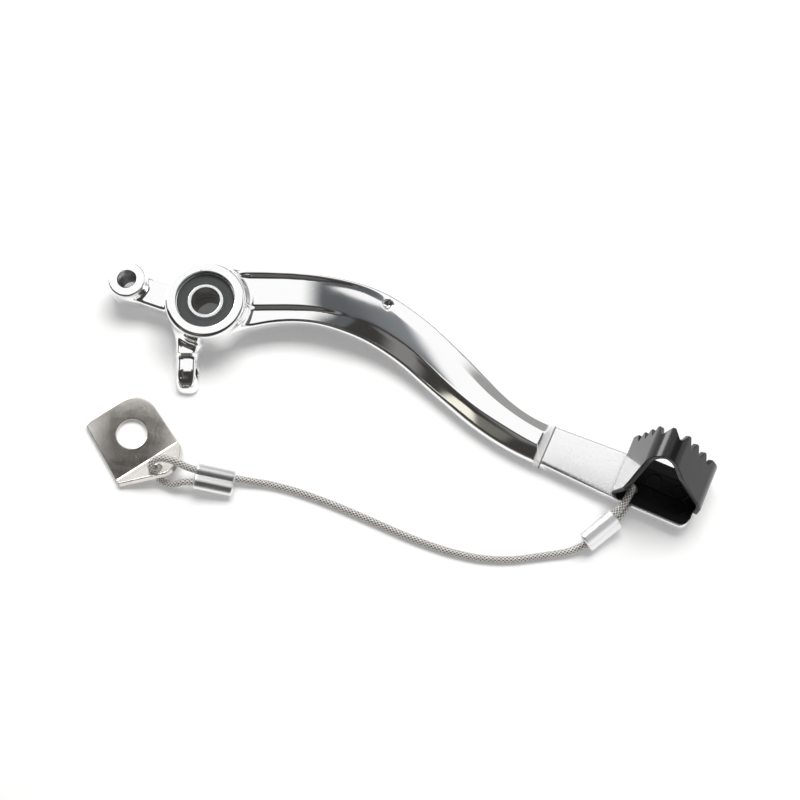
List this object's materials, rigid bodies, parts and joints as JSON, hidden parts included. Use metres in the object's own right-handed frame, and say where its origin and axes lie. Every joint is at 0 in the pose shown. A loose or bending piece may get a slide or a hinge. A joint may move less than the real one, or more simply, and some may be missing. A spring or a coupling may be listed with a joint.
{
  "type": "motorcycle_brake_pedal",
  "caption": "Polished forged rear brake pedal for a motorcycle, with sealed pivot bearings, a folded black toothed tip and a coated wire tether",
  "frame": {"origin": "middle of the pivot bore, on its axis, halfway between the two bearings", "axes": "+X from the pivot towards the toe end, +Y towards the push-rod side and away from the spring lug, +Z along the pivot axis and out of the visible face"},
  "size_m": [0.2209, 0.1078, 0.0347],
  "materials": {
    "polished_aluminium": "mirror_polished",
    "bearing_steel": "ground",
    "cage_steel": "pressed",
    "seal_rubber": "matte",
    "spring_steel": "blackened",
    "black_coat": "semi_gloss",
    "coated_wire": "clear_plastic_coated",
    "ferrule_aluminium": "satin",
    "stainless_sheet": "brushed"
  },
  "bodies": {
    "pedal": {"lever": "polished_aluminium", "front_bearing_outer_ring": "bearing_steel", "rear_bearing_outer_ring": "bearing_steel", "front_bearing_seal_front": "seal_rubber", "front_bearing_seal_rear": "seal_rubber", "rear_bearing_seal_front": "seal_rubber", "rear_bearing_seal_rear": "seal_rubber", "outer_spacer": "bearing_steel", "circlip": "spring_steel", "toe_tip": "black_coat", "tip_screws": "spring_steel", "tether_wire": "coated_wire", "tip_ferrule": "ferrule_aluminium", "anchor_ferrule": "ferrule_aluminium", "anchor_bracket": "stainless_sheet"},
    "pivot_core": {"front_bearing_inner_ring": "bearing_steel", "rear_bearing_inner_ring": "bearing_steel", "inner_spacer": "bearing_steel"},
    "front_ball_set": {"front_bearing_balls": "bearing_steel", "front_bearing_cage": "cage_steel"},
    "rear_ball_set": {"rear_bearing_balls": "bearing_steel", "rear_bearing_cage": "cage_steel"}
  },
  "joints": [
    {"name": "pivot", "type": "hinge", "parent": "pedal", "child": "pivot_core", "pos_m": [0, 0, 0], "axis": [0, 0, 1], "continuous": true},
    {"name": "front_balls", "type": "hinge", "parent": "pedal", "child": "front_ball_set", "pos_m": [0, 0, 0.0045], "axis": [0, 0, 1], "continuous": true},
    {"name": "rear_balls", "type": "hinge", "parent": "pedal", "child": "rear_ball_set", "pos_m": [0, 0, -0.0045], "axis": [0, 0, 1], "continuous": true}
  ],
  "couplings": [
    {"joint": "front_balls", "follows": "pivot", "ratio": 0.4037},
    {"joint": "rear_balls", "follows": "pivot", "ratio": 0.4037}
  ]
}
